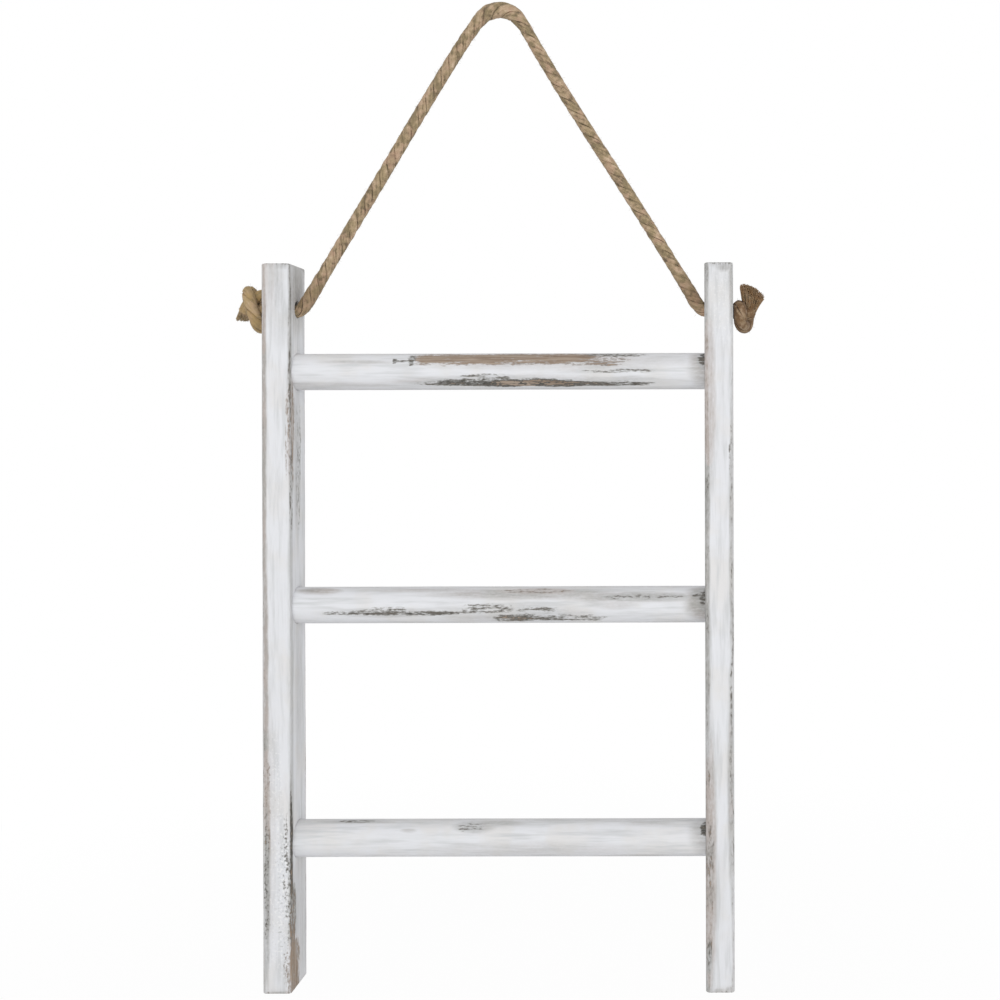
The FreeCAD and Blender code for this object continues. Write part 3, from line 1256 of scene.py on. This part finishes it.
def rail_wear(mesh, node, marks, peels, smudges_and_shade, arris_wear):
    """Write how far a rail's paint is rubbed, stained, peeled, greyed by thinning and darkened by painted
    shade.
    Along is measured down from the top, and across is measured round the section from the middle of the
    front face, towards +X."""
    places = vertex_places(mesh) / MM
    low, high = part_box(node)
    x = places[:, 0] - (low.x + high.x) / 2 / MM
    y = places[:, 1]
    half_width = (high.x - low.x) / 2 / MM
    half_depth = (high.y - low.y) / 2 / MM
    half_round = half_width + half_depth
    along = high.z / MM - places[:, 2]
    gap_x = half_width - np.abs(x)
    gap_y = half_depth - np.abs(y)
    on_side = gap_x < gap_y
    on_back = ~on_side & (y > 0)
    across = np.where(on_side, np.sign(x) * (half_round + y), x)
    across = np.where(on_back, np.sign(x) * (2 * half_round - np.abs(x)), across)

    corner = np.where(y < 0, np.where(x > 0, 0, 3), np.where(x > 0, 1, 2))
    veil, width, rub, dark = np.array(arris_wear)[corner].T
    long_waves = slow_noise(along, long_wave, low.x * long_wave_seed) * long_wave_share
    short_waves = slow_noise(along, short_wave, low.x * short_wave_seed) * short_wave_share
    uneven = 1 + long_waves + short_waves
    fade_from, fade_to = [width * uneven * share for share in arris_fade_shares]
    near = 1 - spread(np.abs(gap_x) + np.abs(gap_y), fade_from, fade_to)
    end_gap = np.minimum(along, (high.z - low.z) / MM - along)
    at_end = np.exp(-end_gap / end_wear)
    hidden = (on_side & (np.sign(x) == np.sign(low.x))) | on_back
    plain = np.where(hidden, scattered_rubs(along, across, low.x * rail_patch_seed), 0)
    plain = np.maximum(plain, near * rub * uneven)
    plain = np.maximum(plain, at_end * end_loss)
    veiled = np.maximum(near * veil * uneven, at_end)
    loss, stain = marks_of_wear_and_shade(along, across, marks, plain, dark)
    peel, _ = marks_of_wear_and_shade(along, across, peels, np.zeros(len(along)), dark)
    smudge_and_shade, _ = marks_of_wear_and_shade(along, across, smudges_and_shade, veiled, dark, smudge_and_shade_power)
    write_wear(mesh, rubbed=loss, stained=stain, peeled=peel, veiled=smudge_and_shade)


def add_rail(node, side, marks, peels, smudges_and_shade, arris_wear):
    mesh = cut(capped(rail_rings(side)), rail_cutters(side))
    rail_wear(mesh, node, marks, peels, smudges_and_shade, arris_wear)
    smooth_shaded(mesh, upright_paint)
    return add_piece(node + "_timber", mesh, "ladder", [node])


# Rail marks: down from the top, across from the front's middle, half length, half width, loss, stain
left_rail_marks = [
    (142, 15.8, 46, 7.0, 0.64, 0.0),
    (190, 15.5, 40, 2.6, 0.62, 0.9),
    (170, 33, 58, 7, 0.34, 0.8),
    (489, 13.8, 46, 3.0, 1.1, 1.0),
    (500, 8.6, 46, 3.0, 0.30, 0.9),
    (62, 13.2, 90, 2.4, 0.42, 0.9),
    (552, 17.0, 34, 6.2, 0.82, 0.35),
    (593, 20.2, 26, 11.5, 1.0, 0.1),
    (30, -10, 40, 3.0, 0.24, 0.0),
    (452, -7.6, 40, 2.4, 0.36, 0.0),
    (520, -8.2, 62, 1.9, 0.52, 0.8),
]
left_rail_peels = [
    (490, -4, 95, 9, 0.66, 0),
    (530, 6, 62, 6, 0.95, 0),
]
left_rail_smudges_and_shade = [
    (16, -4, 30, 11, 0.42, 0),
    (1.5, 0, 3.5, 13, 0.7, 0),
    (48, 4, 22, 7, 0.24, 0),
    (24, 30, 32, 16, 0.7, 0),
    (165, 30, 60, 7, 0.5, 0),
    (70, 13.6, 110, 3.0, 1.1, 0),
    (142, 15.4, 56, 5.2, 1.1, 0),
    # Painted shade along the inner side next to the front arris, down the whole rail
    (305, 15.2, 320, 3.4, 0.5, 0),
    (140, -9.4, 200, 1.8, 1.2, 0),
    (380, -8.6, 170, 1.9, 1.2, 0),
    (490, -7.7, 100, 2.3, 1.2, 0),
    (470, -6, 90, 5, 0.30, 0),
    (530, 13.4, 110, 3.2, 1.1, 0),
    (360, 32, 60, 8, 0.35, 0),
    (560, 32, 60, 22, 0.35, 0),
    (610, 0, 2.4, 12, 1.0, 0),
]
right_rail_marks = [
    (108, -8.0, 54, 5.0, 0.20, 0.0),
    (300, -10, 110, 2.0, 0.28, 0.9),
    (500, -8.6, 92, 4.4, 0.26, 0.3),
    (534, -8.4, 36, 4.6, 0.34, 0.05),
    (578, -8.8, 14, 1.8, 0.52, 0.9),
    (494, -8.4, 26, 3.0, 0.50, 0.5),
    (155, 9.4, 20, 1.5, 0.44, 0.8),
    (240, 10.2, 120, 1.2, 0.34, 0.9),
    (345, 9.8, 70, 1.2, 0.40, 0.8),
    (440, 9.6, 70, 1.6, 0.36, 0.5),
]
right_rail_peels = [
    (30, 2, 40, 10, 0.35, 0),
]
right_rail_smudges = [
    (4, 4.5, 3.4, 6, 0.8, 0),
    (26, 11, 34, 2.6, 0.9, 0),
    (70, 0, 110, 9, 0.07, 0),
    (112, -8.2, 72, 5.0, 0.72, 0),
    (505, -8.6, 110, 5.2, 1.1, 0),
    (240, 10.2, 140, 1.6, 0.9, 0),
    (430, 10, 90, 3.2, 0.9, 0),
    (515, -2, 34, 7, 0.12, 0),
    (608.5, -2, 2.4, 7, 0.6, 0),
    (607.5, 8, 3, 4, 0.7, 0),
]

# Wear of the arrises, front right, back right, back left, front left: veil, width, loss, stain
back_arris = (0.8, 2.8, 0.5, 0.5)
# The left rail's front right arris faces inwards; its darker line is wear and painted shade
left_rail_arrises = [(0.15, 2.2, 0.12, 0.8), back_arris, back_arris, (0.6, 3.2, 0.20, 0.32)]
right_rail_arrises = [(0.55, 2.6, 0.22, 0.6), back_arris, back_arris, (1.0, 4.0, 0.28, 0.6)]

add_rail("left_rail", LEFT, left_rail_marks, left_rail_peels, left_rail_smudges_and_shade, left_rail_arrises)
add_rail("right_rail", RIGHT, right_rail_marks, right_rail_peels, right_rail_smudges, right_rail_arrises)


# Rungs

rung_ring_step = 1.6 * MM
rung_points = 84
rung_end_ease = 1.0 * MM
rung_end_rings = 3
rung_unevenness = 0.12 * MM
rung_wave = 90 * MM
rung_wave_turn = 1.3
rung_seeds = {"top_rung": 3.0, "middle_rung": 11.0, "bottom_rung": 19.0}
rung_patch_seed = 40
rung_stain = 0.4
# Painted shade: greyer paint towards the top, the bottom and the back of each dowel, away from its front
rung_edge_shade = 0.25
rung_edge_angles = (0.9, 1.45)
rung_back_angles = (math.radians(90), math.radians(111.6))


def rung_rings(name):
    """Rings of a dowel along X, a little out of round."""
    low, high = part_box(name)
    radius = (high.z - low.z) / 2
    height = rung_height(name)
    ends = np.linspace(0, rung_end_ease, rung_end_rings)
    body = np.arange(low.x + 2 * rung_end_ease, high.x - 2 * rung_end_ease, rung_ring_step)
    places = np.concatenate([low.x + ends, body, (high.x - ends)[::-1]])
    angles = np.arange(rung_points)[::-1] / rung_points * WHOLE_TURN
    rows = np.cos(angles) * rung_wave_turn + rung_seeds[name]
    layers = np.sin(angles) * rung_wave_turn
    rings = []
    for place in places:
        end_gap = min(place - low.x, high.x - place)
        ease = max(0, rung_end_ease - end_gap)
        uneven = [noise.noise(Vector((place / rung_wave, *spot))) for spot in zip(rows, layers)]
        reach = radius - ease - rung_unevenness * (1 + np.array(uneven))
        rings.append(np.column_stack([
            np.full(rung_points, place), reach * np.sin(angles), height + reach * np.cos(angles),
        ]))
    return rings


def rung_wear(mesh, name, marks, smudges_and_shade):
    """Write how far a rung's paint is rubbed, stained, greyed by thinning and darkened by painted shade.
    Along is measured from the middle towards +X, and across is measured round the dowel from its front,
    upwards."""
    places = vertex_places(mesh) / MM
    low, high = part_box(name)
    radius = (high.z - low.z) / 2 / MM
    along = places[:, 0]
    angle = np.arctan2(places[:, 2] - rung_height(name) / MM, -places[:, 1])
    across = angle * radius
    behind = spread(np.abs(angle), *rung_back_angles)
    plain = behind * scattered_rubs(along, across, rung_height(name) * rung_patch_seed)
    # Painted shade: the paint greys from the front towards the top, the bottom and the back of the dowel
    veiled = rung_edge_shade * spread(np.abs(angle), *rung_edge_angles)
    loss, stain = marks_of_wear_and_shade(along, across, marks, plain, rung_stain)
    smudge_and_shade, _ = marks_of_wear_and_shade(along, across, smudges_and_shade, veiled, rung_stain, smudge_and_shade_power)
    write_wear(mesh, rubbed=loss, stained=stain, peeled=np.zeros(len(along)), veiled=smudge_and_shade)


def add_rung(name, marks, smudges_and_shade):
    cutters = [screw_cutter(side, rung_height(name)) for side in (LEFT, RIGHT)]
    mesh = cut(capped(rung_rings(name)), cutters)
    rung_wear(mesh, name, marks, smudges_and_shade)
    smooth_shaded(mesh, level_paint)
    return add_piece(name + "_timber", mesh, "ladder", [name])


# Rung marks: along from the middle, up round the dowel, half length, half width, loss, stain
top_rung_marks = [
    (-87, 9.4, 2.2, 2.8, 0.74, 1.0),
    (-80, 8.8, 9, 1.3, 0.62, 0.9),
    (-73, 11, 2.6, 6, 0.80, 1.0),
    (-30, 11.9, 43, 6.4, 1.15, 0.0),
    (34, 12.5, 54, 6.6, 1.05, 0.05),
    (5, 12.4, 60, 5.8, 1.0, 0.05),
    (78, 10.2, 32, 5.6, 0.60, 0.2),
    (98, 16.5, 28, 2.6, 0.64, 0.8),
    (100, -0.2, 30, 1.6, 0.62, 0.8),
    (32, -11.7, 98, 3.2, 0.62, 0.7),
    (-27, -10.8, 28, 3.6, 0.92, 1.0),
    (-10, -6.0, 22, 3.4, 0.54, 0.9),
    (26, -11.6, 48, 4.2, 1.15, 0.75),
    (94, -12.3, 36, 2.2, 0.86, 0.95),
    (176, 12, 8.0, 8, 1.0, 1.0),
]
top_rung_smudges_and_shade = [
    (-118, 8.3, 30, 1.8, 0.5, 0),
    (-140, -13, 50, 3.0, 0.35, 0),
    (-58, -9.8, 30, 3.4, 0.5, 0),
    (30, -9.5, 110, 5.5, 0.45, 0),
    (90, 1.5, 46, 3.2, 0.4, 0),
    (40, 8.5, 110, 7.5, 0.4, 0),
    # Painted shadow of the right rail over the rung's right end
    (173, 6, 12, 20, 0.8, 0),
]
middle_rung_marks = [
    (30, 15, 30, 3.0, 0.46, 0.2),
    (122, 8.4, 32, 2.4, 0.54, 0.6),
    (-110, -5.2, 36, 2.4, 0.66, 1.0),
    (-94, -3.0, 20, 3.6, 0.46, 0.8),
    (-57, -5.4, 29, 2.0, 0.80, 1.0),
    (-9, -1.4, 22, 4.4, 0.60, 0.8),
    (15, -11, 20, 4.8, 0.74, 0.5),
    (50, -10.6, 40, 4.2, 0.56, 0.8),
    (31, -2.4, 20, 2.4, 0.52, 0.8),
    (178, 8, 10, 9, 0.84, 0.9),
    (166, 11, 4, 2.6, 0.56, 0.9),
]
middle_rung_smudges_and_shade = [
    (-153, 16, 18, 4.0, 0.95, 0),
    (-63, 16.5, 60, 2.4, 0.5, 0),
    (24, 12, 74, 5.4, 0.75, 0),
    (34, 14.5, 34, 4.0, 0.9, 0),
    (114, 8.4, 50, 4.4, 0.85, 0),
    (96, 2.2, 20, 4.0, 0.4, 0),
    (-95, -5.0, 50, 4.0, 0.45, 0),
    (12, -6.5, 60, 9.0, 0.45, 0),
    # Painted shadow of the right rail over the rung's right end
    (173, 4, 15, 17, 1.1, 0),
]
bottom_rung_marks = [
    (-24, 14.4, 12, 4.6, 0.50, 0.85),
    (-122, 21, 16, 2.0, 0.56, 1.0),
    (175.5, 11.5, 7.2, 7, 1.1, 1.0),
    (172, 7, 3, 2.4, 0.6, 1.0),
]
bottom_rung_smudges_and_shade = [
    (-122, 20.5, 34, 2.8, 0.6, 0),
    (-22, 14.8, 16, 6, 0.7, 0),
    (-4, 18.4, 22, 3.6, 0.6, 0),
    (-77, 10.9, 6, 1.6, 0.5, 0),
    (34, -5.8, 80, 7, 0.28, 0),
    (110, -15.5, 30, 3.0, 0.4, 0),
    (124, 17.7, 24, 3.2, 0.4, 0),
    # Painted shadow of the right rail over the rung's right end
    (173, 8, 12, 18, 0.6, 0),
]

add_rung("top_rung", top_rung_marks, top_rung_smudges_and_shade)
add_rung("middle_rung", middle_rung_marks, middle_rung_smudges_and_shade)
add_rung("bottom_rung", bottom_rung_marks, bottom_rung_smudges_and_shade)


# Screws

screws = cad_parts["rung_screws"]
screws.data.materials.clear()
screws.data.materials.append(zinc_plate)


# Stage

floor_gap = 32 * MM
floor_half = 4.0
ambient = 0.60
floor_white = (0.86, 0.86, 0.86, 1)
floor_roughness = 0.9
floor_glow_share = 0.965
far_glow_share = 0.035
far_glow_range = (0.25, 0.9)
pure_white = (1, 1, 1, 1)
key_place = (-0.2, -2.4, 0.15)
key_size = 2.2
key_power = 22
fill_place = (2.0, -1.0, -0.4)
fill_size = 1.4
fill_power = 9
camera_lens = 45.26
camera_shift_x = -0.22
camera_shift_y = -0.07
camera_place = (0.1858, -1.0685, -0.3514)
camera_tilt = math.radians(89.937)
camera_roll = math.radians(0.144)


def seen_directly(tree):
    """1 for rays from the camera, also by a mirror or through glass."""
    path = add_node(tree, "ShaderNodeLightPath", {}, {}, output="Is Camera Ray")
    return path.larger(path.output("Is Glossy Ray")).larger(path.output("Is Transmission Ray"))


def add_floor():
    """A pale floor that turns pure white away from the object and keeps its soft shadow below it."""
    mesh = bpy.data.meshes.new("floor")
    height = cad_box[0].z - floor_gap
    mesh.from_pydata(
        [(x * floor_half, y * floor_half, height) for x, y in ((-1, -1), (1, -1), (1, 1), (-1, 1))],
        [], [(0, 1, 2, 3)],
    )
    material, tree, shader = new_material("studio_floor")
    finish_shader(tree, shader, {"Base Color": floor_white, "Roughness": floor_roughness})
    place = object_place(tree)
    far = add_node(tree, "ShaderNodeVectorMath", {"operation": "LENGTH"},
                   {0: vector_maths("MULTIPLY", place, (1, 1, 0))}, output="Value")
    glow = add_node(tree, "ShaderNodeEmission", {}, {"Color": pure_white, "Strength": 1.0})
    share = seen_directly(tree) * (floor_glow_share + far_glow_share * far.step(*far_glow_range))
    lit = Wire(tree, shader.outputs[0])
    surface = add_node(tree, "ShaderNodeMixShader", {}, {0: share, 1: lit, 2: glow})
    tree.links.new(surface.socket, tree.nodes["Material Output"].inputs["Surface"])
    mesh.materials.append(material)
    held("floor", mesh)


def add_world():
    """White where the camera sees it, and an even soft light for the object."""
    world = bpy.data.worlds.new("studio")
    world.use_nodes = True
    tree = world.node_tree
    strength = ambient + (1 - ambient) * seen_directly(tree)
    tree.nodes["Background"].inputs["Color"].default_value = pure_white
    tree.links.new(strength.socket, tree.nodes["Background"].inputs["Strength"])
    bpy.context.scene.world = world


def add_lamp(name, place, size, power):
    """A large soft lamp aimed at the ladder's middle."""
    data = bpy.data.lights.new(name, "AREA")
    data.size = size
    data.energy = power
    lamp = held(name, data)
    lamp.location = place
    middle = (cad_box[0] + cad_box[1]) / 2
    lamp.rotation_euler = (middle - Vector(place)).to_track_quat("-Z", "Y").to_euler()


def add_camera():
    """The photograph's view: nearly level, from in front of the right rail."""
    data = bpy.data.cameras.new("camera")
    data.lens = camera_lens
    data.shift_x = camera_shift_x
    data.shift_y = camera_shift_y
    camera = held("camera", data)
    camera.location = camera_place
    camera.rotation_euler = (camera_tilt, camera_roll, 0)
    bpy.context.scene.camera = camera


add_floor()
add_world()
add_lamp("key", key_place, key_size, key_power)
add_lamp("fill", fill_place, fill_size, fill_power)
add_camera()
bpy.context.scene.view_settings.view_transform = "Standard"
